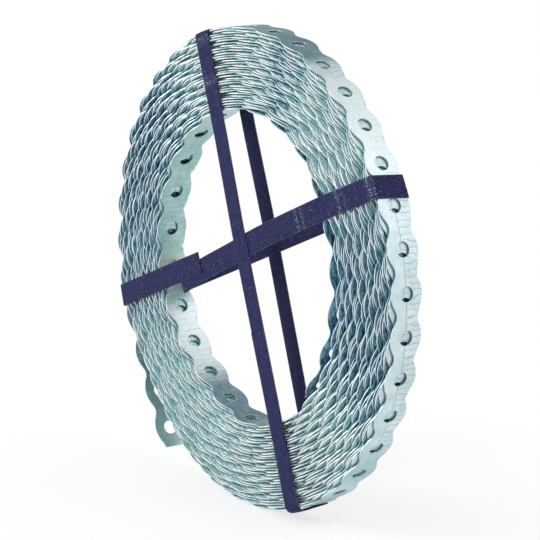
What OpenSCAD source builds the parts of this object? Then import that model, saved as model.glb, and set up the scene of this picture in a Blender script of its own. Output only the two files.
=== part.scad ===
// Roll of perforated fixing band: a wavy-edged galvanised steel band wound into a coil,
// with its outer end free and its inner end slack inside the bore, held by two plastic straps
// that cross over the bore.
// The coil stands upright on its rim. Its axis is Y, its front faces -Y, and the origin is on
// the axis at the middle of the band's width.

/* [Band] */
// Width of the band across its bulges, at the holes
band_w = 17; // [14:0.2:20.6]
// Width of the band at its waists, halfway between holes
waist_w = 11; // [9:0.5:13]
// Thickness of the band
band_t = 0.75; // [0.5:0.05:1]
// Diameter of the holes
hole_d = 7; // [4:0.5:8]
// Distance from one hole to the next along the band
hole_pitch = 20; // [18:1:25]
// Radius of the hollow in the band's edge at a waist
waist_r = 5.5; // [3:0.5:7]

/* [Coil] */
// Outer diameter of the coil
coil_d = 232.4; // [190:0.2:280]
// Diameter of the bore
bore_d = 152.2; // [125:0.2:185]
// Number of ridges on each end, which stand for the edges of the turns: one for every two turns
ridges = 17; // [8:1:20]
// Depth of the grooves between the ridges
groove_h = 1.5; // [0.5:0.1:2.5]
// Angle of the first hole of the innermost turn
bore_hole_angle = 131.5; // [0:0.5:180]

/* [Free end] */
// Angle on the coil where the free end leaves it
end_angle = 204; // [202:1:215]
// Length of the free end, with its tip halfway between two holes
end_len = 66; // [45:1:75]
// Radius of the free end's slight bend
end_bend_r = 630; // [400:10:900]

/* [Slack inner end] */
// Angle on the coil where the band's inner end leaves the turns
slack_start = 52; // [40:1:70]
// Length of the inner end, with its tip halfway between two holes
slack_len = 127; // [60:1:150]
// Furthest distance that it stands inside the turns
slack_gap = 8; // [3:0.5:12]
// Angle on the coil where it stands furthest inside
slack_angle = -15; // [-25:1:-5]

/* [Straps] */
// Width of each strap
strap_w = 11; // [8:0.2:13.4]
// Thickness of each strap
strap_t = 0.6; // [0.4:0.1:0.9]
// Direction of the cross strap, from the coil's right
cross_angle = 22.5; // [15:0.5:27]
// Distance from the coil's axis to the cross strap's centre line
cross_off = 12.5; // [0:0.5:16]
// Distance from the cross strap's lapped end to the point nearest the axis
cross_lap = 35.5; // [20:0.5:60]
// Direction of the upright strap, from the coil's right
upright_angle = 109.4; // [100:0.2:118]
// Distance from the coil's axis to the upright strap's centre line, on its right
upright_off = 2.7; // [0:0.1:10]
// Distance from the upright strap's lapped end to the point nearest the axis
upright_lap = 30; // [20:0.5:60]

/* [Hidden] */

$fn = 96;
eps = 0.01;

coil_r = coil_d / 2;
bore_r = bore_d / 2;
ridge_pitch = (coil_r - bore_r - band_t) / (ridges - 1);

// Radii of the outermost and the innermost turn at half their thickness
outer_mid_r = coil_r - band_t / 2;
bore_mid_r = bore_r + band_t / 2;

// The band's edge swings between two arcs that meet smoothly: a bulge at each hole and a
// hollow at each waist. Their radii add up to edge_sum.
edge_swing = (band_w - waist_w) / 2;
edge_sum = (pow(hole_pitch / 2, 2) + pow(edge_swing, 2)) / (2 * edge_swing);
bulge_r = edge_sum - waist_r;
// Distance from the centre line to where the two arcs meet
meet_w = waist_w / 2 + edge_swing * waist_r / edge_sum;
// The bulges are drawn this much further out, so that arcs cross and never only touch. That
// leaves a short flat at the top of each bulge, and a cut ends on it, this far from the hole.
arc_overlap = 0.02;
cut_gap = 0.5;

// Distances of the holes from the tip, along the band
end_holes = [for (s = [hole_pitch / 2 : hole_pitch : end_len]) s];
first_coil_hole = hole_pitch * (len(end_holes) + 0.5);
slack_holes = [for (s = [hole_pitch / 2 : hole_pitch : slack_len - hole_pitch / 2]) s];
outer_holes = floor(2 * PI * outer_mid_r / hole_pitch);
bore_holes = floor(2 * PI * bore_mid_r / hole_pitch);

function degrees_along(length, r) = length / r * 180 / PI;
function outer_angle(s) = end_angle - degrees_along(s - end_len, outer_mid_r);
function bore_angle(n) = bore_hole_angle + degrees_along(n * hole_pitch, bore_mid_r);
function end_turn(s) = degrees_along(end_len - s, end_bend_r);

// The inner end is one arc. It leaves the innermost turn at slack_start, and its point nearest
// the axis lies at slack_angle, so its centre is on the far side of the axis from there.
slack_span = slack_start - slack_angle;
slack_near_r = bore_mid_r - slack_gap;
slack_off = (pow(bore_mid_r, 2) - pow(slack_near_r, 2))
    / (2 * (slack_near_r - bore_mid_r * cos(slack_span)));
slack_bend_r = slack_near_r + slack_off;
slack_from = atan2(bore_mid_r * sin(slack_span), bore_mid_r * cos(slack_span) + slack_off);
// It is drawn this many degrees further, and then trimmed to the turn
slack_root = 5;
function slack_turn(s) = slack_from - degrees_along(slack_len - s, slack_bend_r);

// Below here the coil is drawn lying down: its axis is Z and its front faces +Z.

// Puts a child that points along +Z at an angle on a circle, pointing outward
module on_circle(angle, r)
    rotate([0, 0, angle]) translate([r, 0, 0]) rotate([0, 90, 0]) children();

// Puts a child on the free end, at a distance from its tip, pointing outward
module on_free_end(s)
    rotate([0, 0, end_angle]) translate([outer_mid_r - end_bend_r, 0, 0])
        on_circle(end_turn(s), end_bend_r) children();

// What is cut away from one edge of the band at one waist
module waist_outline()
    union() {
        translate([waist_w / 2 + waist_r, 0]) circle(r = waist_r);
        difference() {
            translate([meet_w, cut_gap - hole_pitch / 2])
                square([band_w / 2 + 1 - meet_w, hole_pitch - 2 * cut_gap]);
            for (side = [-1, 1])
                translate([band_w / 2 + arc_overlap - bulge_r, side * hole_pitch / 2])
                    circle(r = bulge_r);
        }
    }

// Cuts both edges of the band at one waist, from one height to another
module waist_cut(low, high)
    for (side = [0, 180])
        rotate([0, 0, side]) translate([0, 0, low])
            linear_extrude(height = high - low) waist_outline();

module hole_cut(depth)
    cylinder(d = hole_d, h = depth, center = true);

// The wound turns, as one ring with a ridge for every two turns on both ends
module wound_turns()
    rotate_extrude($fn = 180)
        difference() {
            translate([bore_r, -band_w / 2]) square([coil_r - bore_r, band_w]);
            for (ridge = [0 : ridges - 2])
                for (side = [0, 180])
                    rotate([side, 0, 0])
                        translate([bore_r + ridge * ridge_pitch + band_t, band_w / 2 - groove_h])
                            square([ridge_pitch - band_t, groove_h + eps]);
        }

// Waves and holes of the outermost turn. The cuts are flat-bottomed, so they reach below the
// turn by as much as it curves from one hole to the next.
module outer_turn_cuts() {
    curve = coil_r - sqrt(pow(coil_r, 2) - pow(hole_pitch / 2, 2));
    for (n = [0 : outer_holes - 1])
        on_circle(outer_angle(first_coil_hole + (n + 0.5) * hole_pitch), coil_r)
            waist_cut(-band_t - curve, 1);
    for (n = [0 : outer_holes - 1])
        on_circle(outer_angle(first_coil_hole + n * hole_pitch), coil_r)
            hole_cut(2 * band_t);
}

// Waves and holes of the innermost turn
module bore_turn_cuts() {
    for (n = [0 : bore_holes - 1])
        on_circle(bore_angle(n + 0.5), bore_r) waist_cut(-1, band_t);
    for (n = [0 : bore_holes - 1])
        on_circle(bore_angle(n), bore_r) hole_cut(2 * band_t);
}

// The outer end of the band, which has sprung away from the coil
module free_end()
    difference() {
        rotate([0, 0, end_angle]) translate([outer_mid_r - end_bend_r, 0, 0])
            rotate_extrude(angle = end_turn(0), $fn = 180)
                translate([end_bend_r - band_t / 2, -band_w / 2]) square([band_t, band_w]);
        for (s = end_holes)
            on_free_end(s) hole_cut(band_t + 2 * eps);
        for (s = [0 : hole_pitch : end_len])
            on_free_end(s) waist_cut(-2 * band_t, 2 * band_t);
    }

// The inner end of the band, which stands inside the bore. It starts within the innermost turn.
module slack_end()
    intersection() {
        cylinder(r = bore_mid_r, h = band_w, center = true);
        rotate([0, 0, slack_angle]) translate([-slack_off, 0, 0])
            difference() {
                rotate([0, 0, slack_turn(0)])
                    rotate_extrude(angle = slack_from - slack_turn(0) + slack_root, $fn = 180)
                        translate([slack_bend_r - band_t / 2, -band_w / 2])
                            square([band_t, band_w]);
                for (s = slack_holes)
                    on_circle(slack_turn(s), slack_bend_r) hole_cut(2 * band_t);
                for (s = [0 : hole_pitch : slack_len - hole_pitch / 2])
                    on_circle(slack_turn(s), slack_bend_r) waist_cut(-2 * band_t, 2 * band_t);
            }
    }

module band_coil()
    color("lightsteelblue") rotate([90, 0, 0])
        union() {
            difference() {
                wound_turns();
                outer_turn_cuts();
                bore_turn_cuts();
            }
            free_end();
            slack_end();
        }

// Space inside a strap that is pulled tight around the coil, with the strap's own thickness
// left out or added
module strapped_shape(thickness)
    rotate_extrude($fn = 180)
        union() {
            translate([0, -band_w / 2]) square([coil_r + thickness, band_w]);
            translate([0, -band_w / 2 - thickness]) square([coil_r, band_w + 2 * thickness]);
            for (side = [-1, 1])
                translate([coil_r, side * band_w / 2]) circle(r = thickness);
        }

// Straight run across the coil at a distance from its axis, from one length to another
module run(angle, off, from, to, low, high)
    rotate([0, 0, angle]) translate([from, off - strap_w / 2, low])
        cube([to - from, strap_w, high - low]);

// A closed loop of strap, as it lies around both ends and the rim
module strap_loop(angle, off)
    intersection() {
        difference() {
            strapped_shape(strap_t);
            cylinder(r = coil_r, h = band_w, center = true);
        }
        run(angle, off, -coil_d, coil_d, -coil_d, coil_d);
    }

// Second layer on the front, from a strap's square-cut end to the rim. It is drawn from half
// way down the first layer, which it is welded to.
module lapped_end(angle, off, lap)
    intersection() {
        run(angle, off, -coil_d, -lap, band_w / 2 + strap_t / 2, band_w / 2 + 2 * strap_t);
        cylinder(r = coil_r - strap_t, h = 2 * band_w, center = true);
    }

module cross_strap()
    color("midnightblue") rotate([90, 0, 0])
        union() {
            strap_loop(cross_angle, cross_off);
            lapped_end(cross_angle, cross_off, cross_lap);
        }

// The upright strap lies over the cross strap on both ends of the coil, so its runs rise by one
// thickness between the bore's wall and the crossing. Lengths run along the strap, from its
// point nearest the axis.
strap_corner = upright_angle - cross_angle;
crossing = (cross_off + upright_off * cos(strap_corner)) / sin(strap_corner);
crossing_half = strap_w / 2 * (1 + abs(cos(strap_corner))) / sin(strap_corner) + 1;
rise_start = bore_r - strap_w;

// Points of the upright strap's loop seen from its side, at a height above the coil: 0 gives its
// inside and strap_t its outside, with rounded corners
function corner(x, y, from, height) =
    [for (a = height > 0 ? [from : 15 : from + 90] : [from]) [x, y] + height * [cos(a), sin(a)]];
function rise(height) = [
    [rise_start, band_w / 2 + height],
    [crossing + crossing_half, band_w / 2 + strap_t + height],
    [crossing - crossing_half, band_w / 2 + strap_t + height],
    [-rise_start, band_w / 2 + height]
];
function loop_points(height) = concat(
    corner(coil_r, band_w / 2, 0, height),
    rise(height),
    corner(-coil_r, band_w / 2, 90, height),
    corner(-coil_r, -band_w / 2, 180, height),
    [for (i = [3 : -1 : 0]) [rise(height)[i][0], -rise(height)[i][1]]],
    corner(coil_r, -band_w / 2, 270, height)
);

// Its lapped end on the front, from half way down the first layer
lap_rise = strap_t * (rise_start - upright_lap) / (rise_start + crossing - crossing_half);
lap_points = [
    for (p = [[strap_t - coil_r, 0], [-rise_start, 0], [-upright_lap, lap_rise]])
        p + [0, band_w / 2 + strap_t / 2],
    for (p = [[-upright_lap, lap_rise], [-rise_start, 0], [strap_t - coil_r, 0]])
        p + [0, band_w / 2 + 2 * strap_t]
];

module upright_strap()
    color("midnightblue") rotate([90, 0, 0])
        rotate([0, 0, upright_angle]) translate([0, strap_w / 2 - upright_off, 0])
            rotate([90, 0, 0]) linear_extrude(height = strap_w)
                union() {
                    difference() {
                        polygon(loop_points(strap_t));
                        polygon(loop_points(0));
                    }
                    polygon(lap_points);
                }

band_coil();
cross_strap();
upright_strap();
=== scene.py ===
"""Roll of wavy perforated fixing band, held by two plastic straps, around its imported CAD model."""
import math

import bpy
import numpy as np
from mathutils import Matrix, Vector


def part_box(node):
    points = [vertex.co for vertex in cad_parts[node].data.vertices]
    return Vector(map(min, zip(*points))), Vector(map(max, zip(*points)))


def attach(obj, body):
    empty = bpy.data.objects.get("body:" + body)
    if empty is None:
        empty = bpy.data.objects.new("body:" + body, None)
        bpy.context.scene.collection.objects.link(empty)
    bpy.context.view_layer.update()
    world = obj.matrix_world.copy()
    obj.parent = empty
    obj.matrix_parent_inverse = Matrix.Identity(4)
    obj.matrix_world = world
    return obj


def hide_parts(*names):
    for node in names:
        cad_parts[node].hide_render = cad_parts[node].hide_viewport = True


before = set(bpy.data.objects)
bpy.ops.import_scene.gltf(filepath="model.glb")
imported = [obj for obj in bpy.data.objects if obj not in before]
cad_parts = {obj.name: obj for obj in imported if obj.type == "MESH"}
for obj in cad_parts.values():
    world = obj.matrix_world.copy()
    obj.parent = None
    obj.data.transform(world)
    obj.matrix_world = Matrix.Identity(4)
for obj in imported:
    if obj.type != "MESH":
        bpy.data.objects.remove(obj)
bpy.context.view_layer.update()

MM = 0.001


def rad(degrees):
    return degrees * math.pi / 180


# ---------------------------------------------------------------- sizes, in millimetres
coil_low, coil_high = (np.array(corner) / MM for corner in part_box("band_coil"))
COIL_R = coil_high[2]
BAND_W = coil_high[1] - coil_low[1]
BAND_T = 0.75
HOLE_D = 7.0
PITCH = 20.0
# Width at the waist between two holes, and the radius of the hollow there
WAIST_W = 11.0
WAIST_R = 5.5
CHAMFER = 0.13

# Outermost and innermost turn at half the band's thickness
OUTER_MID = COIL_R - BAND_T / 2
BORE_MID = 76.475

# Free end: its angle on the coil, its length and the radius that it is bent to
END_ANGLE = 204.0
END_LEN = 66.0
END_BEND = 630.0
# Each turn steps inward by one pitch over the last part of its way round, from this angle on
STEP_FROM = 321.0

# Slack inner end: one arc inside the bore, between angles on the coil
SLACK_START = 52.0
SLACK_TIP = -50.7
# Where it is nearest to the axis, how far inside the last turn's circle, and how far to the rear
SLACK_ANGLE = -15.0
SLACK_GAP = 9.4
SLACK_SIDE = 1.1
# How gently it leaves the turn, and the angle before its tip in which it is looked for
SLACK_BLEND = 0.5
SLACK_SPAN = 150.0
# Whole turns before the last part of one
LAST_TURN = 32

# Mean distance between turns, by the angle on the coil. The coil is looser low down.
PITCH_AT = (
    (10, 1.310), (40, 1.260), (62, 1.220), (90, 1.200), (190, 1.190), (204, 1.250), (219, 1.290),
    (236, 1.395), (252, 1.380), (267, 1.270), (285, 1.310), (320, 1.350), (345, 1.335),
)
# Painted light and shade on the wound turns, by the angle on the coil: how bright their faces and edges
# are painted
PAINTED_LIGHT_AT = (
    (15, 0.1), (30, 0.65), (45, 1.3), (60, 1.2), (75, 0.2), (90, 1.8), (105, 1.5), (120, 0.8),
    (135, 0.05), (150, -0.4), (165, -0.5), (180, 0.1), (195, 0.2), (210, 0.8), (225, 1.0),
    (255, 1.3), (270, 1.9), (285, 1.5), (300, 2.1), (315, 1.4), (330, 0.35), (345, -0.2),
    (360, -0.05),
)
# How much of each face the next turn covers: by the angle from the free end for the outer face,
# and by the angle from the tip of the slack end for the inner one
# The covered share of a face gets the painted light and shade between the turns
OUTER_COVER = ((300, 0), (360, 0.1), (700, 0.1), (760, 1))
INNER_COVER = ((-840, 1), (-800, 0.15), (-480, 0.15), (-450, 0))
# The free end's inner face is open up to here along the band
OPEN_INSIDE = (55, 75)

# How much closer the second turn lies to the outermost on the right, and the last but one to the
# last on the left
OUTER_CLOSE = 0.05
INNER_CLOSE = 0.05
# Most that a turn leans over the band's width, in degrees
TILT = 0.25
# Extra radius of the turns between, which brings the last turn's holes to their places
TRIM = 0.052
# Ripples around each turn, and bunches of about three turns
RIPPLE = 0.025
BUNCHING = 0.075
# Where the turns are pressed in below the free end, how far, over how many degrees to each side
# and how many turns deep
PRESSED_AT = 224.0
PRESSED = 2.7
PRESSED_SPAN = 18.0
PRESSED_TURNS = 14.0
# Extra length of the cells between the first two turns, and between the last two
OUTER_STRETCH = 7.4
INNER_STRETCH = 3.3

# Slow waves along the coil, as (size, waves per turn, phase): in the distance from the axis, in
# the places of the holes along the band, and along the coil's axis
TURN_WAVES = (
    (0.08, 0.23, 1.1), (0.025, 0.47, 4.0), (0.012, 1.31, 2.2), (0.008, 2.17, 0.4), (0.005, 4.6, 5.0),
)
HOLE_WAVES = ((2.0, 0.77, 0.5), (1.2, 1.41, 3.3))
SIDE_WAVES = ((0.34, 0.37, 0.3), (0.22, 0.83, 2.9), (0.12, 2.3, 5.2))
# Angles on the coil where the straps cross the turns, and how far to each side they hold them
STRAP_ANGLES = (15.5, 110.7, 209.5, 288.2)
STRAP_HOLD = 11.0

# Steps of the path: along the free end, and in degrees around the turns
END_STEP = 0.25
TURN_STEP = 0.1


# ---------------------------------------------------------------- the band's path
def smooth(x):
    """Eases from 0 at x = 0 to 1 at x = 1."""
    x = np.clip(x, 0, 1)
    return x * x * (3 - 2 * x)


def waves(angle, terms):
    """Sum of slow waves along the coil: (size, waves per turn, phase) for each."""
    return sum(a * np.sin(2 * math.pi * f * angle / 360 + p) for a, f, p in terms)


def turn_pitch(phi):
    """Mean distance between turns at angles on the coil, rounded off between the stated ones."""
    at, value = zip(*PITCH_AT)
    return sum(np.interp(phi + d, at, value, period=360) for d in range(-10, 11, 4)) / 6


def slack_radius(phi):
    """Distance of the slack inner end from the axis."""
    span = rad(SLACK_START - SLACK_ANGLE)
    near = BORE_MID - SLACK_GAP
    off = (BORE_MID**2 - near**2) / (2 * (near - BORE_MID * math.cos(span)))
    a = np.radians(phi - SLACK_ANGLE)
    return -off * np.cos(a) + np.sqrt((near + off) ** 2 - (off * np.sin(a)) ** 2)


def tilt_of(turned, turn, inside):
    """How far the band leans over its own width, in radians."""
    wave = np.sin(2 * math.pi * turn * 0.31 + 1.2 * np.sin(np.radians(turned * 1.7)))
    return rad(TILT) * inside * (wave + 0.35 * np.sin(np.radians(turned * 3.3) + turn))


def wound_radius(turned, turn, inside, last):
    """Distance of the wound band from the axis. turned is the angle from the free end, last is
    that of the slack end's tip, and inside is 1 on the turns between."""
    phi = END_ANGLE - turned
    r = OUTER_MID - turn * turn_pitch(phi)
    r += inside * waves(turned, TURN_WAVES)
    r += inside * RIPPLE * np.sin(np.radians(phi * 9 + 150 * np.sin(np.radians(phi))) + 0.9 * turn)
    bunch = turn / 3.3 + 0.35 * np.sin(np.radians(2 * phi + 40))
    r += inside * BUNCHING * np.sin(2 * math.pi * bunch)
    # The first two turns sink a little from the right round to the lower left
    for start, depth in ((0, 0.06), (360, 0.05)):
        r -= depth * smooth((turned - start - 200) / 40) * smooth((start + 330 - turned) / 40)
    # 1 on the coil's right side, 0 on its left
    right = smooth((np.cos(np.radians(phi - 5)) + 0.15) / 0.6)
    r += OUTER_CLOSE * turn * np.exp(1 - turn) * (1.5 * right - 0.5)
    away = (phi - PRESSED_AT + 180) % 360 - 180
    pressed = np.exp(-((away / PRESSED_SPAN) ** 2) - np.maximum(turn - 1, 0) / PRESSED_TURNS)
    r -= PRESSED * pressed * smooth((turned - 305) / 25)
    left = LAST_TURN - turn
    r -= INNER_CLOSE * left * np.exp(1 - left) * (1 - right)
    r += TRIM * smooth((turned - 700) / 360) * smooth((last - 360 - turned) / 360)
    # The smaller of the turn's own distance and the slack end's, rounded off where they meet
    slack = slack_radius(phi)
    low = -SLACK_BLEND * np.logaddexp(-r / SLACK_BLEND, -slack / SLACK_BLEND)
    return np.where(turned > last - SLACK_SPAN, low, r)


def band_path():
    """Places along the band from its free end: distance, x and z, outward normal, lean and angle."""
    a = (END_LEN - np.arange(0, END_LEN, END_STEP)) / END_BEND
    x, y = OUTER_MID - END_BEND + END_BEND * np.cos(a), END_BEND * np.sin(a)
    c, s = math.cos(rad(END_ANGLE)), math.sin(rad(END_ANGLE))
    tail = np.stack([x * c - y * s, x * s + y * c], 1)

    last = END_ANGLE - SLACK_TIP + 360 * LAST_TURN
    turned = np.arange(0, last + TURN_STEP, TURN_STEP)
    part = turned % 360
    turn = turned // 360 + smooth((part - STEP_FROM) / (360 - STEP_FROM))
    inside = smooth((turned - 380) / 300) * smooth((last - 400 - turned) / 300)
    r = wound_radius(turned, turn, inside, last)
    a = np.radians(END_ANGLE - turned)
    wound = np.stack([r * np.cos(a), r * np.sin(a)], 1)

    way = np.concatenate([tail, wound])
    step = np.hypot(*np.diff(way, axis=0).T)
    dist = np.concatenate([[0], np.cumsum(step)])
    along = np.gradient(way, dist, axis=0)
    along /= np.linalg.norm(along, axis=1)[:, None]
    # Cells are a little longer where they can't be seen, which sets how the holes overlap
    dist[len(tail):] -= OUTER_STRETCH * smooth((turned - 335) / 105)
    dist[len(tail):] -= INNER_STRETCH * smooth((turned - last + 375) / 65)
    dist[len(tail):] += inside * waves(turned, HOLE_WAVES)
    lean = np.concatenate([np.zeros(len(tail)), tilt_of(turned, turn, inside)])
    angle = np.concatenate([np.zeros(len(tail)), turned])
    return dist, way, np.stack([-along[:, 1], along[:, 0]], 1), lean, angle


def side_shift(turned):
    """How far one piece of the band strays along the coil's axis, at angles from the free end.
    The straps hold it level where they cross. The last stretch of the piece shifts to the rear."""
    phi = END_ANGLE - turned
    free = np.ones_like(phi)
    for angle in STRAP_ANGLES:
        away = (phi - angle + 180) % 360 - 180
        free *= 1 - np.exp(-((away / STRAP_HOLD) ** 4))
    inside = smooth((turned - 200) / 160)
    slack = SLACK_SIDE * smooth((SLACK_START - SLACK_TIP + turned - turned.max()) / 45)
    return inside * (0.03 + 0.97 * free) * waves(turned, SIDE_WAVES) * (1 - slack) + slack


# ---------------------------------------------------------------- one cell of the band
# Steps along one wavy edge of a cell, and points in each ring around its hole
EDGE_STEPS = 12
RING = 2 * EDGE_STEPS + 4


def edge_half_width(s):
    """Half the band's width at a distance from a hole, up to half a pitch."""
    swing = (BAND_W - WAIST_W) / 2
    both = ((PITCH / 2) ** 2 + swing**2) / (2 * swing)
    bulge = both - WAIST_R
    s = np.abs(s)
    meet = PITCH / 2 * bulge / both
    out = BAND_W / 2 - bulge + np.sqrt(np.maximum(bulge**2 - s**2, 0))
    hollow = WAIST_W / 2 + WAIST_R - np.sqrt(np.maximum(WAIST_R**2 - (PITCH / 2 - s) ** 2, 0))
    return np.where(s < meet, out, hollow)


def cell_outline():
    """Outline of one cell, clockwise from its upper left corner: places and outward normals."""
    s = np.linspace(-PITCH / 2, PITCH / 2, EDGE_STEPS + 1)
    w = edge_half_width(s)
    nudge = 0.01
    slope = (edge_half_width(s + nudge) - edge_half_width(s - nudge)) / (2 * nudge)
    slope[[0, -1]] = 0
    n = np.stack([-slope, np.ones_like(s)], 1)
    n /= np.linalg.norm(n, axis=1)[:, None]
    upper = np.stack([s, w], 1)
    flip = np.array([-1, -1])
    at = np.concatenate([upper, [[PITCH / 2, 0]], upper * flip, [[-PITCH / 2, 0]]])
    out = np.concatenate([n, [[0, 0]], n * flip, [[0, 0]]])
    return at, out


def cell_points():
    """Points of one cell as (s, y, height), with their normals in the same terms. Each ring of
    points goes once around the hole: five on the outer side of the band and five under them."""
    at, out = cell_outline()
    turn = np.radians(90 + 360 / RING * (EDGE_STEPS / 2 - np.arange(RING)))
    ray = np.stack([np.cos(turn), np.sin(turn)], 1)
    hole = ray * HOLE_D / 2
    inset = at - out * CHAMFER
    rim = ray * (HOLE_D / 2 + CHAMFER)
    # One more ring about half way between the hole's rim and the band's edge
    middle = 0.52 * rim + 0.48 * inset
    half = BAND_T / 2
    rings = []
    for side in (1, -1):
        up = np.tile([0, 0, side], (RING, 1)).astype(float)
        for ring in (rim, middle, inset):
            rings.append((np.c_[ring, np.full(RING, side * half)], up))
        h = np.full(RING, side * (half - CHAMFER))
        rings.append((np.c_[hole, h], np.c_[-ray, np.zeros(RING)]))
        rings.append((np.c_[at, h], np.c_[out, np.zeros(RING)]))
    points = np.concatenate([p for p, _ in rings])
    normals = np.concatenate([n for _, n in rings])
    return points, normals


# Where each ring's points start, and those of the inner side
RIM, MIDDLE, INSET, HOLE, EDGE = (RING * i for i in range(5))
UNDER = 5 * RING


def cell_faces():
    """Faces of one cell."""
    faces = []

    def band(a, b, steps, flip=False):
        for j in steps:
            k = (j + 1) % RING
            quad = [a + j, a + k, b + k, b + j]
            faces.append(quad if flip else quad[::-1])

    everywhere = range(RING)
    wavy = [*range(EDGE_STEPS), *range(EDGE_STEPS + 2, 2 * EDGE_STEPS + 2)]
    band(RIM, MIDDLE, everywhere, True)
    band(MIDDLE, INSET, everywhere, True)
    band(HOLE, RIM, everywhere, True)
    band(UNDER + HOLE, HOLE, everywhere, True)
    band(INSET, EDGE, wavy, True)
    band(EDGE, UNDER + EDGE, wavy, True)
    band(UNDER + RIM, UNDER + MIDDLE, everywhere)
    band(UNDER + MIDDLE, UNDER + INSET, everywhere)
    band(UNDER + HOLE, UNDER + RIM, everywhere)
    band(UNDER + INSET, UNDER + EDGE, wavy)
    return faces


def end_cap(first):
    """The face that closes a cell where the band is cut, at its start or its end."""
    top, side, low = (
        (0, RING - 1, 2 * EDGE_STEPS + 2) if first else (EDGE_STEPS, EDGE_STEPS + 1, EDGE_STEPS + 2)
    )
    loop = [INSET + top, INSET + side, INSET + low, EDGE + low, UNDER + EDGE + low,
            UNDER + INSET + low, UNDER + INSET + side, UNDER + INSET + top, UNDER + EDGE + top,
            EDGE + top]
    return loop[::-1] if first else loop


def mesh_object(name, points, faces, normals, material, attributes):
    mesh = bpy.data.meshes.new(name)
    mesh.from_pydata(points * MM, [], faces)
    mesh.polygons.foreach_set("use_smooth", np.ones(len(faces), bool))
    for title, values in attributes.items():
        kind, key = ("FLOAT", "value") if values.ndim == 1 else ("FLOAT_VECTOR", "vector")
        layer = mesh.attributes.new(title, kind, "POINT")
        layer.data.foreach_set(key, values.astype(np.float32).ravel())
    if normals is not None:
        mesh.normals_split_custom_set(normals)
    mesh.materials.append(material)
    mesh.validate()
    made = bpy.data.objects.new(name, mesh)
    bpy.context.scene.collection.objects.link(made)
    return made


def band_piece(name, cells, path, material):
    """The stretch of band that these cells make, closed at both of its ends."""
    local, local_normals = cell_points()
    faces = cell_faces()
    count, size = len(cells), len(local)
    s = (np.array(cells)[:, None] + 0.5) * PITCH + local[None, :, 0]
    y = np.broadcast_to(local[None, :, 1], s.shape)
    h = np.broadcast_to(local[None, :, 2], s.shape)
    dist, way, out, leans, angles = path
    x0, z0 = (np.interp(s, dist, way[:, i]) for i in (0, 1))
    nx, nz = (np.interp(s, dist, out[:, i]) for i in (0, 1))
    length = np.hypot(nx, nz)
    nx, nz = nx / length, nz / length
    turned, end = np.interp(s, dist, angles), angles[-1]
    side = side_shift(turned)
    lean = np.interp(s, dist, leans)
    high = h + y * lean
    places = np.stack([x0 + nx * high, y + side - h * lean, z0 + nz * high], -1).reshape(-1, 3)
    # Normals: along the band is (nz, -nx), across it is y, and its height is (nx, nz)
    ln = local_normals[None]
    across, upward = ln[..., 1] - ln[..., 2] * lean, ln[..., 2] + ln[..., 1] * lean
    normal = np.stack([ln[..., 0] * nz + upward * nx, across,
                       -ln[..., 0] * nx + upward * nz], -1).reshape(-1, 3)
    flat = np.stack([s, y, h], -1).reshape(-1, 3)
    # How much the next turn covers each face, and the painted light and shade of the place by its angle
    # on the coil
    over = np.interp(turned, *zip(*OUTER_COVER))
    under = np.interp(turned - end, *zip(*INNER_COVER)) * np.interp(s, OPEN_INSIDE, [0, 1])
    cover = np.where(h > 0, over, under).reshape(-1)
    bright = np.interp(END_ANGLE - turned, *zip(*PAINTED_LIGHT_AT), period=360)
    # Painted shade: the slack end is painted darker below each of its crests
    crest_shade = 0.5 * np.cos(2 * math.pi * (s / PITCH - 0.3)) - 0.4
    bright = np.where(turned > end - SLACK_SPAN, crest_shade, bright).reshape(-1)

    quads = (np.array(faces)[None] + (np.arange(count) * size)[:, None, None]).reshape(-1, 4)
    # Neighbouring cells share the points on the line between them
    key = np.round(places, 4)
    _, first, owner = np.unique(key, axis=0, return_index=True, return_inverse=True)
    owner = owner.ravel()
    quads = owner[quads]
    caps = [owner[np.array(end_cap(True))], owner[np.array(end_cap(False)) + (count - 1) * size]]
    all_faces = [q.tolist() for q in quads] + [c.tolist() for c in caps]
    places, normal, flat = places[first], normal[first], flat[first]
    cover, bright = cover[first], bright[first]
    loops = np.concatenate([quads.ravel(), *caps])
    loop_normals = normal[loops]
    corners = len(caps[0])
    for cap, span in zip(caps, (slice(-2 * corners, -corners), slice(-corners, None))):
        p = places[cap]
        n = np.cross(p[2] - p[0], p[5] - p[0])
        loop_normals[span] = n / np.linalg.norm(n)
    return mesh_object(name, places, all_faces, loop_normals, material,
                       {"band": flat, "cover": cover, "bright": bright})


# ---------------------------------------------------------------- materials
def new_material(name):
    material = bpy.data.materials.new(name)
    material.use_nodes = True
    tree = material.node_tree
    tree.nodes.clear()
    return material, tree


def add(tree, kind, inputs=None, **settings):
    made = tree.nodes.new(kind)
    for key, value in settings.items():
        setattr(made, key, value)
    for key, value in (inputs or {}).items():
        if isinstance(value, bpy.types.NodeSocket):
            tree.links.new(value, made.inputs[key])
        else:
            made.inputs[key].default_value = value
    return made


def math_node(tree, operation, a, b=None):
    inputs = {0: a} if b is None else {0: a, 1: b}
    return add(tree, "ShaderNodeMath", inputs, operation=operation).outputs[0]


def plus(tree, a, b):
    return math_node(tree, "ADD", a, b)


def times(tree, a, b):
    return math_node(tree, "MULTIPLY", a, b)


def mix_colour(tree, factor, a, b):
    """Colour a where the factor is 0, and b where it is 1."""
    made = add(tree, "ShaderNodeMix", {"Factor": factor}, data_type="RGBA")
    for index, value in ((6, a), (7, b)):
        if isinstance(value, bpy.types.NodeSocket):
            tree.links.new(value, made.inputs[index])
        else:
            made.inputs[index].default_value = (*value, 1)
    return made.outputs[2]


def noise(tree, vector, scale, detail, roughness):
    """Noise with its own scale along the strip, across it and through it."""
    scaled = add(tree, "ShaderNodeVectorMath", {0: vector, 1: scale}, operation="MULTIPLY").outputs[0]
    return add(tree, "ShaderNodeTexNoise", {"Vector": scaled, "Scale": 1.0, "Detail": detail,
                                            "Roughness": roughness}).outputs["Fac"]


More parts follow.
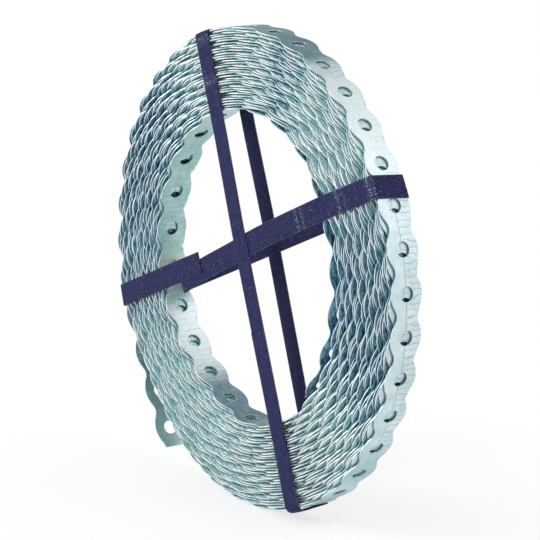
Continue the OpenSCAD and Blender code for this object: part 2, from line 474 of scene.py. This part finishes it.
def ramp(tree, value, low, high, to_low=0.0, to_high=1.0):
    """Straight line from to_low at low to to_high at high, level outside them."""
    return add(tree, "ShaderNodeMapRange", {"Value": value, "From Min": low, "From Max": high,
                                            "To Min": to_low, "To Max": to_high}).outputs[0]


# Spacing of the roller marks along the band
ROLLER_PITCH = 3.1


def roller_marks(tree, s, y, h, spangle, grain):
    """Marks across the rear half of the outer face and all of the inner face, and a line along
    the middle of both."""
    shaky = plus(tree, s, times(tree, grain, 0.9))
    shaky = plus(tree, shaky, times(tree, spangle, 5.0))
    line = math_node(tree, "PINGPONG", shaky, ROLLER_PITCH / 2)
    rear = ramp(tree, plus(tree, y, times(tree, spangle, 1.6)), 0.3, 1.2)
    rear = math_node(tree, "MAXIMUM", rear, ramp(tree, h, 0.0, -BAND_T / 4))
    marks = times(tree, ramp(tree, line, 0.32, 0.12), rear)
    marks = times(tree, marks, ramp(tree, grain, 0.36, 0.52))
    seam = math_node(tree, "ABSOLUTE", plus(tree, y, times(tree, spangle, 0.9)))
    seam = times(tree, ramp(tree, seam, 0.30, 0.12), ramp(tree, grain, 0.30, 0.5))
    return math_node(tree, "MAXIMUM", marks, seam)


def covered_face_painted_light(tree, flat, y, bright):
    """Faces between the turns, painted with light and shade: painted light near the edges and painted
    highlights in pale patches and lines, and blue painted shade further in, where the next turn shades
    them. bright moves all of it towards painted light.
    """
    # Painted light: paler near the band's edges, where light gets in between the turns
    near = ramp(tree, math_node(tree, "ABSOLUTE", y), 4.8, 8.3)
    blots = noise(tree, flat, (0.30, 0.85, 3.0), 3, 0.62)
    lines = noise(tree, flat, (0.10, 3.4, 3.0), 2, 0.6)
    mixed = plus(tree, times(tree, blots, 0.6), times(tree, lines, 0.4))
    mixed = plus(tree, mixed, times(tree, near, 0.09))
    mixed = plus(tree, mixed, times(tree, bright, 0.055))
    # Painted shade deep in, mid tones, and pale painted highlights, each lighter where bright is high
    deep = mix_colour(tree, bright, (0.03, 0.07, 0.22), (0.10, 0.26, 0.36))
    middle = mix_colour(tree, bright, (0.15, 0.42, 0.52), (0.34, 0.80, 0.78))
    pale = mix_colour(tree, bright, (0.60, 0.80, 0.86), (0.88, 1.0, 1.0))
    shaded_tone = mix_colour(tree, ramp(tree, mixed, 0.45, 0.52), deep, middle)
    return mix_colour(tree, ramp(tree, mixed, 0.53, 0.61), shaded_tone, pale)


def cut_edge(tree, flat, y, bright):
    """The wavy cut edges: pale, with painted highlight that follows the painted light by angle and
    green and lilac stretches, and painted shade in the waists and holes.
    """
    tint = noise(tree, flat, (0.45, 0.45, 2.0), 2, 0.6)
    # Painted highlight on the cut edges, brighter where bright is high
    edge_highlight = mix_colour(tree, bright, (0.72, 0.78, 0.82), (0.97, 1.0, 0.99))
    edge = mix_colour(tree, ramp(tree, tint, 0.36, 0.50), (0.50, 0.72, 0.70), edge_highlight)
    edge = mix_colour(tree, ramp(tree, tint, 0.56, 0.66), edge, (0.88, 0.84, 0.97))
    # Painted shade in the waists and holes
    valley_shade = mix_colour(tree, bright, (0.30, 0.50, 0.55), (0.50, 0.72, 0.74))
    return mix_colour(tree, ramp(tree, math_node(tree, "ABSOLUTE", y), 7.8, 6.6), edge, valley_shade)


def galvanised(patches):
    """Zinc-coated steel. patches are stretches of the band with a tint: where each starts and
    ends, over what lengths it fades in from its start and fades out past its end, its colour and
    its strength."""
    material, tree = new_material("galvanised_steel")
    flat = add(tree, "ShaderNodeAttribute", attribute_name="band").outputs["Vector"]
    cover = add(tree, "ShaderNodeAttribute", attribute_name="cover").outputs["Fac"]
    # bright is the painted light and shade of the place, by its angle on the coil
    bright = add(tree, "ShaderNodeAttribute", attribute_name="bright").outputs["Fac"]
    parts = add(tree, "ShaderNodeSeparateXYZ", {0: flat}).outputs
    s, y, h = parts[0], parts[1], parts[2]
    height_off = math_node(tree, "ABSOLUTE", h)
    # The cut edges are painted paler than the rolled faces as painted highlight, with a dark line of
    # painted shade along each corner
    wall = ramp(tree, height_off, BAND_T / 2 - CHAMFER * 0.05, BAND_T / 2 - CHAMFER * 0.5)
    core = ramp(tree, height_off, BAND_T / 2 - CHAMFER * 0.75, BAND_T / 2 - CHAMFER * 1.15)
    # The rolled faces: spangle, streaks along the band and fine grain over a cloudy tint
    spangle = noise(tree, flat, (0.16, 0.16, 3.0), 3, 0.55)
    streak = noise(tree, flat, (0.03, 2.6, 3.0), 2, 0.6)
    grain = noise(tree, flat, (1.9, 1.9, 3.0), 3, 0.6)
    cloud = noise(tree, flat, (0.022, 0.05, 3.0), 2, 0.5)
    tone = plus(tree, times(tree, spangle, 0.45), times(tree, streak, 0.25))
    tone = plus(tree, tone, times(tree, grain, 0.3))
    face = mix_colour(tree, ramp(tree, tone, 0.38, 0.62), (0.50, 0.65, 0.68), (0.74, 0.83, 0.87))
    face = mix_colour(tree, ramp(tree, cloud, 0.52, 0.68, 0, 0.4), face, (0.42, 0.60, 0.58))
    marks = roller_marks(tree, s, y, h, spangle, grain)
    face = mix_colour(tree, times(tree, marks, 0.75), face, (0.20, 0.32, 0.32))
    # The tints lie over the roller marks, and the scuffs and flecks over the tints. Most tints are
    # painted light and shade, two of them painted highlights.
    for low, high, soft_low, soft_high, tint, strength in patches:
        starts, stops = ramp(tree, s, low, low + soft_low), ramp(tree, s, high + soft_high, high)
        where = times(tree, starts, stops)
        uneven = ramp(tree, tone, 0.38, 0.6, 1.0, 0.62)
        where = times(tree, times(tree, where, uneven), strength)
        face = mix_colour(tree, where, face, tint)
    scuff = ramp(tree, noise(tree, flat, (0.55, 1.4, 5.0), 4, 0.75), 0.57, 0.68)
    face = mix_colour(tree, times(tree, scuff, 0.5), face, (0.28, 0.42, 0.44))
    fleck = ramp(tree, noise(tree, flat, (1.1, 2.2, 5.0), 2, 0.7), 0.64, 0.70)
    face = mix_colour(tree, times(tree, fleck, 0.6), face, (0.10, 0.17, 0.20))
    # Painted light and shade between the turns, on the faces that the next turn covers
    face = mix_colour(tree, cover, face, covered_face_painted_light(tree, flat, y, bright))
    edge = cut_edge(tree, flat, y, bright)
    # Painted shade along each corner, darker and bluer where the next turn covers it
    corner = mix_colour(tree, ramp(tree, cover, 0.0, 0.6), (0.34, 0.46, 0.50), (0.07, 0.13, 0.24))
    colour = mix_colour(tree, wall, face, corner)
    colour = mix_colour(tree, core, colour, edge)
    rough = plus(tree, ramp(tree, grain, 0.3, 0.7, 0.30, 0.42), times(tree, scuff, 0.1))
    rough = math_node(tree, "SUBTRACT", rough, times(tree, cover, 0.05))
    metal = math_node(tree, "SUBTRACT", 0.72, times(tree, cover, 0.10))
    metal = math_node(tree, "SUBTRACT", metal, times(tree, wall, 0.2))
    height = plus(tree, times(tree, streak, 0.4), times(tree, grain, 0.3))
    height = math_node(tree, "SUBTRACT", height, times(tree, marks, 0.5))
    bump = add(tree, "ShaderNodeBump", {"Strength": 0.35, "Distance": 0.00006, "Height": height})
    shader = add(tree, "ShaderNodeBsdfPrincipled", {
        "Base Color": colour, "Metallic": metal, "Roughness": rough, "Normal": bump.outputs[0]})
    out = add(tree, "ShaderNodeOutputMaterial")
    tree.links.new(shader.outputs[0], out.inputs[0])
    return material


# The straps' weave, along and across, and the pale line along their slit edges: where it starts
# and is full, from the middle
WEAVE_PITCH = (2.1, 1.4)
SLIT_LINE = (5.22, 5.34)


def strap_plastic():
    """Dark woven strapping, with pale scuffs where it was creased, and teal-grey patches of painted
    sheen.
    """
    material, tree = new_material("strap_plastic")
    flat = add(tree, "ShaderNodeAttribute", attribute_name="strap").outputs["Vector"]
    worn = add(tree, "ShaderNodeAttribute", attribute_name="worn").outputs["Fac"]
    parts = add(tree, "ShaderNodeSeparateXYZ", {0: flat}).outputs
    along, across = parts[0], parts[1]
    weave = []
    for value, pitch in zip((along, across), WEAVE_PITCH):
        turned = times(tree, value, 2 * math.pi / pitch)
        weave.append(math_node(tree, "SINE", turned))
    ribs = ramp(tree, times(tree, weave[0], weave[1]), -0.35, 0.55)
    blotch = noise(tree, flat, (0.12, 0.3, 1.0), 3, 0.6)
    fibre = noise(tree, flat, (0.25, 3.5, 1.0), 2, 0.6)
    speck = noise(tree, flat, (0.9, 1.1, 1.0), 3, 0.8)
    base = mix_colour(tree, ramp(tree, blotch, 0.3, 0.7), (0.005, 0.002, 0.034), (0.010, 0.006, 0.048))
    base = mix_colour(tree, times(tree, ribs, 0.9), base, (0.040, 0.044, 0.125))
    bright = times(tree, ramp(tree, fibre, 0.50, 0.68), 0.4)
    base = mix_colour(tree, bright, base, (0.075, 0.095, 0.16))
    # Painted sheen: teal-grey patches on the strap
    bright = times(tree, ramp(tree, speck, 0.58, 0.68), 0.6)
    base = mix_colour(tree, bright, base, (0.10, 0.17, 0.24))
    dots = noise(tree, flat, (0.8, 1.6, 1.0), 1, 0.5)
    base = mix_colour(tree, ramp(tree, dots, 0.70, 0.76), base, (0.26, 0.34, 0.40))
    marks = times(tree, ramp(tree, speck, 0.53, 0.57), worn)
    base = mix_colour(tree, marks, base, (0.42, 0.50, 0.55))
    slit = ramp(tree, math_node(tree, "ABSOLUTE", across), *SLIT_LINE, 0.0, 0.3)
    slit = times(tree, slit, ramp(tree, fibre, 0.35, 0.6))
    base = mix_colour(tree, slit, base, (0.20, 0.28, 0.36))
    height = plus(tree, ribs, times(tree, fibre, 0.4))
    bump = add(tree, "ShaderNodeBump", {"Strength": 0.6, "Distance": 0.00008, "Height": height})
    rough = ramp(tree, blotch, 0.3, 0.7, 0.42, 0.58)
    shader = add(tree, "ShaderNodeBsdfPrincipled", {
        "Base Color": base, "Roughness": rough, "Specular IOR Level": 0.03, "Normal": bump.outputs[0]})
    out = add(tree, "ShaderNodeOutputMaterial")
    tree.links.new(shader.outputs[0], out.inputs[0])
    return material


# ---------------------------------------------------------------- straps
STRAP_T = 0.6
# Gap between a strap's inner face and the band's edges, and between it and the rim
STRAP_CLEAR = 0.05
STRAP_SIT = BAND_W / 2 + STRAP_CLEAR
# Radius of a pinched corner, and width of the straps' broken edges
CORNER_R = 0.6
STRAP_BEVEL = 0.12
# Points across each face of a strap, and the least distance between its sections
STRAP_POINTS = 9
STRAP_STEP = 0.05


def strap_piece(name, angle, off, half_w, lap, hidden, rises, shift, wear, bends, material):
    """A strap in one length: its lapped end lies on top on the front, at -lap from the middle.
    It runs down round the near rim, up the back, over the far rim and down the front again, and
    ends under itself at -hidden. rises gives its height over what it crosses, on each run, and
    shift how far it strays sideways. bends has the inner radius of each corner (front or back,
    left or right) and how far the front corners stand off the rim (off_l and off_r)."""
    corner = np.linspace(0, 1, 7)
    segments = (
        ("front", np.linspace(-lap, -COIL_R + bends["fl"] - bends["off_l"], 60)),
        ("corner_fl", corner),
        ("rim_l", np.linspace(-1, 1, 12)),
        ("corner_bl", corner),
        ("back", np.linspace(-COIL_R + bends["bl"], COIL_R - bends["br"], 150)),
        ("corner_br", corner),
        ("rim_r", np.linspace(1, -1, 12)),
        ("corner_fr", corner),
        ("front2", np.linspace(COIL_R - bends["fr"] + bends["off_r"], -hidden, 150)),
    )
    # Each section as (place across, share of the thickness), once around
    face = np.linspace(-half_w + STRAP_BEVEL, half_w - STRAP_BEVEL, STRAP_POINTS)
    section = np.array([(v, 1.0) for v in face] + [(half_w, 0.8), (half_w, 0.2)]
                       + [(v, 0.0) for v in face[::-1]] + [(-half_w, 0.2), (-half_w, 0.8)])
    rows, flat, worn = [], [], []
    length = 0.0
    last = None
    for run, values in segments:
        for value in values:
            row = np.array([strap_point(run, value, v, t * STRAP_T, off, rises, shift, bends)
                            for v, t in section])
            centre = row[:STRAP_POINTS].mean(0)
            if last is not None:
                step = np.linalg.norm(centre - last)
                if step < STRAP_STEP:
                    continue
                length += step
            last = centre
            rows.append(row)
            scuffs = [strength * math.exp(-(((value - at) / wide) ** 2))
                      for where, at, wide, strength in wear if where == run]
            worn.append(np.full(len(section), max(scuffs, default=0.0)))
            flat.append(np.c_[np.full(len(section), length), section[:, 0], section[:, 1]])
    rows = np.array(rows)
    count, size = rows.shape[:2]
    quads = []
    for i in range(count - 1):
        for j in range(size):
            k = (j + 1) % size
            quads.append([i * size + j, i * size + k, (i + 1) * size + k, (i + 1) * size + j])
    faces = quads + [list(range(size))[::-1], [(count - 1) * size + j for j in range(size)]]
    c, s = math.cos(rad(angle)), math.sin(rad(angle))
    p = rows.reshape(-1, 3)
    places = np.stack([p[:, 0] * c - p[:, 1] * s, p[:, 2], p[:, 0] * s + p[:, 1] * c], 1)
    return mesh_object(name, places, faces, None, material,
                       {"strap": np.concatenate(flat), "worn": np.concatenate(worn)})


def strap_point(run, value, v, height, off, rises, shift, bends):
    """Place of one point as (u along the strap's direction, v across it, y)."""
    def reach(across):
        return math.sqrt(max(COIL_R**2 - across**2, 0))

    def runs(side):
        return ("front" if side < 0 else "front2"), "back"

    def stands_off(side, mix):
        """How far a strap stands off the rim: all of it at the front, and none at the back."""
        return bends["off_l" if side < 0 else "off_r"] * (1 - mix)

    def level(side, front):
        """Height of the strap's inner face where it comes to a corner, and the corner's radius."""
        run = runs(side)[0 if front else 1]
        corner = ("f" if front else "b") + ("l" if side < 0 else "r")
        return STRAP_SIT + rises(run, side * COIL_R), bends[corner]

    if run in ("front", "front2", "back"):
        across = off + v + shift(run, value)
        y = STRAP_SIT + rises(run, value) + height
        return value * reach(across) / COIL_R, across, y if run == "back" else -y
    side = -1 if run in ("corner_fl", "rim_l", "corner_bl") else 1
    front_run, back_run = runs(side)
    front_shift, back_shift = shift(front_run, side * COIL_R), shift(back_run, side * COIL_R)
    if run.startswith("rim"):
        mix = (value + 1) / 2
        across = off + v + front_shift * (1 - mix) + back_shift * mix
        (front_level, front_bend), (back_level, back_bend) = level(side, True), level(side, False)
        y = (back_level - back_bend) * mix - (front_level - front_bend) * (1 - mix)
        return side * (reach(across) + height + STRAP_CLEAR + stands_off(side, mix)), across, y
    front = run in ("corner_fl", "corner_fr")
    across = off + v + (front_shift if front else back_shift)
    sit, bend = level(side, front)
    turned = value if run in ("corner_fl", "corner_br") else 1 - value
    u = reach(across) + STRAP_CLEAR - bend + (bend + height) * math.sin(turned * math.pi / 2)
    u += stands_off(side, 0 if front else 1)
    y = sit - bend + (bend + height) * math.cos(turned * math.pi / 2)
    return side * u, across, -y if front else y


# ---------------------------------------------------------------- the band
path = band_path()


def along_band(turn, phi):
    """Distance along the band of an angle on one of its turns."""
    return float(np.interp(END_ANGLE - phi + 360 * turn, path[4], path[0]))


# Tints on the free end: start and end along the band, the lengths over which they fade in from
# the start and fade out past the end, colour and strength
FREE_END_TINTS = ((-10, 38, 5, 40, (0.20, 0.38, 0.36), 0.85),)
# The same on the turns: the turn, with start and end as angles on the coil. Most of these are painted
# light and shade of the reflections on the faces, and the two near-white ones are painted highlights.
TURN_TINTS = (
    (0, 204, 128, 10, 20, (0.28, 0.41, 0.44), 0.9),
    (0, 130, 67, 60, 6, (0.20, 0.42, 0.44), 0.85),
    (0, 100, 88, 20, 14, (0.36, 0.58, 0.58), 0.6),
    (0, 83, 67, 12, 8, (0.10, 0.22, 0.27), 0.75),
    (0, 62, 33, 10, 14, (0.84, 0.92, 0.94), 0.85),
    (0, -20, -100, 60, 60, (0.38, 0.62, 0.74), 0.6),
    (0, -34, -46, 16, 14, (0.24, 0.44, 0.44), 0.7),
    (0, -54, -75, 12, 20, (0.13, 0.27, 0.26), 0.95),
    (LAST_TURN, 205, 128, 4, 30, (0.22, 0.46, 0.42), 0.80),
    (LAST_TURN, 203, 186, 14, 8, (0.62, 0.72, 0.60), 0.5),
    (LAST_TURN - 1, -86, -117, 8, 12, (0.08, 0.17, 0.25), 0.9),
    (LAST_TURN - 1, -124, -152, 10, 10, (0.86, 0.94, 0.96), 0.7),
    (LAST_TURN, 84, -70, 20, 5, (0.38, 0.52, 0.54), 0.8),
    (LAST_TURN - 1, -30, -84, 10, 5, (0.32, 0.44, 0.46), 0.9),
)
tints_and_painted_light = list(FREE_END_TINTS)
for turn, start, stop, *rest in TURN_TINTS:
    tints_and_painted_light.append((along_band(turn, start), along_band(turn, stop), *rest))
steel = galvanised(tints_and_painted_light)
plastic = strap_plastic()

# Cells in the first and last piece. The rest is cut so that no piece has 200,000 triangles.
OUTER_CELLS = 41
INNER_CELLS = 31
TURN_CUTS = (350, 650)
cell_count = int(path[0][-1] // PITCH)
cuts = [0, OUTER_CELLS, *TURN_CUTS, cell_count - INNER_CELLS, cell_count]
names = ["band_outer_turn", "band_turns_a", "band_turns_b", "band_turns_c", "band_inner_turn"]
for name, first, last in zip(names, cuts, cuts[1:]):
    piece = band_piece(name, range(first, last), path, steel)
    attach(piece, "root")
    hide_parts("band_coil")


# ---------------------------------------------------------------- the two straps
# In the functions below, u runs along a strap from the middle of the coil: it is -COIL_R at the
# strap's left or lower rim
def upright_rises(run, u):
    """It climbs over the cross strap on both faces, and lies on its own under end on the front."""
    # Where the two cross, half the level stretch there, and where the climb starts
    crossing, flat, start = 12.8, 7.2, 65.0
    up = np.interp(u, [-start, crossing - flat, crossing + flat, start], [0, STRAP_T, STRAP_T, 0])
    if run == "front":
        return float(up + STRAP_T * np.interp(u, [-114, -104], [0.5, 1]))
    return float(up)


def cross_rises(run, u):
    """Its lapped end lies on its own under end."""
    if run == "front":
        return float(STRAP_T * np.interp(u, [-112, -62], [0, 1]))
    return 0.0


def upright_shift(run, u):
    if run == "front":
        return -0.45 * float(np.interp(u, [-114, -100], [0, 1]))
    if run == "back":
        return 1.0
    return 0.0


# The under end of the cross strap swings down past the crossing and shows below the lap: places
# along the strap, with how far it strays sideways there
UNDER_END = ((-57, -6.3), (-34, -3.9), (-3, -2.4), (12, -1.1), (45, -0.2), (75, 0.1), (115, -0.4))
# Creases: the run, the place on it, how wide and how strong
CROSS_WEAR = (
    ("front2", 53, 0.8, 0.7), ("front2", 58, 0.7, 0.5), ("front2", 88, 1.1, 0.6),
    ("front2", 93, 0.6, 0.4), ("corner_fr", 0.2, 0.5, 0.6), ("front2", 113.5, 1.6, 0.6),
)
UPRIGHT_WEAR = (("front2", 91.5, 0.8, 0.55), ("front2", 94.0, 0.8, 0.4), ("front2", 113, 1.6, 0.5))


def cross_shift(run, u):
    if run == "front":
        return float(np.interp(u, [-114, -35], [0.2, -0.6]))
    if run == "front2":
        at, value = zip(*UNDER_END)
        return float(sum(np.interp(u + d, at, value) for d in (-6, -2, 2, 6)) / 4)
    if run == "back":
        return -1.6
    return 0.0


pinched = {"fl": CORNER_R, "bl": CORNER_R, "br": CORNER_R, "fr": CORNER_R, "off_l": 0, "off_r": 0}
# The upright strap is rounder at its lower and upper front corners and stands off the rim below
rounder = {**pinched, "fl": 3.4, "fr": 1.0, "off_l": 1.0}
# Each strap's angle on the coil, its distance from the axis, half its width, and where its lapped
# end and its under end lie
for name, angle, off, half_w, lap, hidden, rises, shift, wear, bends in (
    ("cross_strap_band", 22.5, 12.5, 5.5, 35.5, 56.3, cross_rises, cross_shift, CROSS_WEAR, pinched),
    ("upright_strap_band", 109.4, -2.7, 5.35, 30.0, 104, upright_rises, upright_shift, UPRIGHT_WEAR,
     rounder),
):
    piece = strap_piece(name, angle, off, half_w, lap, hidden, rises, shift, wear, bends, plastic)
    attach(piece, "root")
    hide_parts(name.replace("_band", ""))


# ---------------------------------------------------------------- studio
def floor_material():
    """White floor. It fades to the white of the room away from the roll."""
    material, tree = new_material("floor")
    diffuse = add(tree, "ShaderNodeBsdfDiffuse", {"Color": (0.95, 0.95, 0.95, 1)})
    glow = add(tree, "ShaderNodeEmission", {"Color": (1, 1, 1, 1), "Strength": 1.0})
    where = add(tree, "ShaderNodeNewGeometry").outputs["Position"]
    away = add(tree, "ShaderNodeVectorMath", {0: where}, operation="LENGTH").outputs["Value"]
    light = add(tree, "ShaderNodeLightPath")
    seen = math_node(tree, "MAXIMUM", light.outputs["Is Camera Ray"], light.outputs["Is Glossy Ray"])
    factor = times(tree, seen, ramp(tree, away, 0.11, 0.24, 0.66, 1.0))
    mix = add(tree, "ShaderNodeMixShader", {0: factor, 1: diffuse.outputs[0], 2: glow.outputs[0]})
    out = add(tree, "ShaderNodeOutputMaterial")
    tree.links.new(mix.outputs[0], out.inputs[0])
    return material


floor_mesh = bpy.data.meshes.new("floor")
reach, ground = 30.0, coil_low[2] * MM
floor_corners = [(x * reach, y * reach, ground) for x, y in ((-1, -1), (1, -1), (1, 1), (-1, 1))]
floor_mesh.from_pydata(floor_corners, [], [(0, 1, 2, 3)])
floor_mesh.materials.append(floor_material())
floor = bpy.data.objects.new("floor", floor_mesh)
bpy.context.scene.collection.objects.link(floor)

world = bpy.data.worlds.new("studio")
world.use_nodes = True
bpy.context.scene.world = world
tree = world.node_tree
tree.nodes.clear()
# Broad soft light from two opposite sides of the room and some from above
ROOM_SIDES = (0.569, 0.822, 0.1)
toward = add(tree, "ShaderNodeTexCoord").outputs["Generated"]
sides = add(tree, "ShaderNodeVectorMath", {0: toward, 1: ROOM_SIDES}, operation="DOT_PRODUCT")
sides = math_node(tree, "ABSOLUTE", sides.outputs["Value"])
sides = ramp(tree, sides, 0.35, 0.85, 0.26, 0.95)
above = add(tree, "ShaderNodeSeparateXYZ", {0: toward}).outputs[2]
room = plus(tree, sides, ramp(tree, above, 0.3, 0.9, 0.0, 0.45))
light = add(tree, "ShaderNodeLightPath")
seen = math_node(tree, "MAXIMUM", light.outputs["Is Camera Ray"], light.outputs["Is Transmission Ray"])
strength = add(tree, "ShaderNodeMix", {0: seen, 2: room, 3: 1.0}, data_type="FLOAT").outputs[0]
glow = add(tree, "ShaderNodeBackground", {"Color": (1, 1, 1, 1), "Strength": strength})
out = add(tree, "ShaderNodeOutputWorld")
tree.links.new(glow.outputs[0], out.inputs[0])


def lamp(name, place, size, power, aim=(0, 0, 0)):
    data = bpy.data.lights.new(name, "AREA")
    data.shape = "RECTANGLE"
    data.size, data.size_y = size
    data.energy = power
    made = bpy.data.objects.new(name, data)
    made.location = place
    made.rotation_euler = (Vector(aim) - Vector(place)).to_track_quat("-Z", "Y").to_euler()
    bpy.context.scene.collection.objects.link(made)


# Lamps and camera are in metres
lamp("key", (-0.5, -1.5, 0.9), (0.9, 0.9), 16)
lamp("side", (1.6, 0.35, 0.9), (0.8, 1.2), 7)

CAMERA_AT = Vector((0.9927, -0.6803, 0.2546))
CAMERA_AIM = Vector((0.009392, 0, 0.000896))
LENS_MM = 171.0
camera = bpy.data.objects.new("camera", bpy.data.cameras.new("camera"))
bpy.context.scene.collection.objects.link(camera)
camera.location = CAMERA_AT
camera.rotation_euler = (CAMERA_AIM - CAMERA_AT).to_track_quat("-Z", "Y").to_euler()
camera.data.sensor_width = 36
camera.data.lens = LENS_MM
camera.data.clip_start, camera.data.clip_end = 0.05, 100
bpy.context.scene.camera = camera
bpy.context.scene.view_settings.view_transform = "Standard"
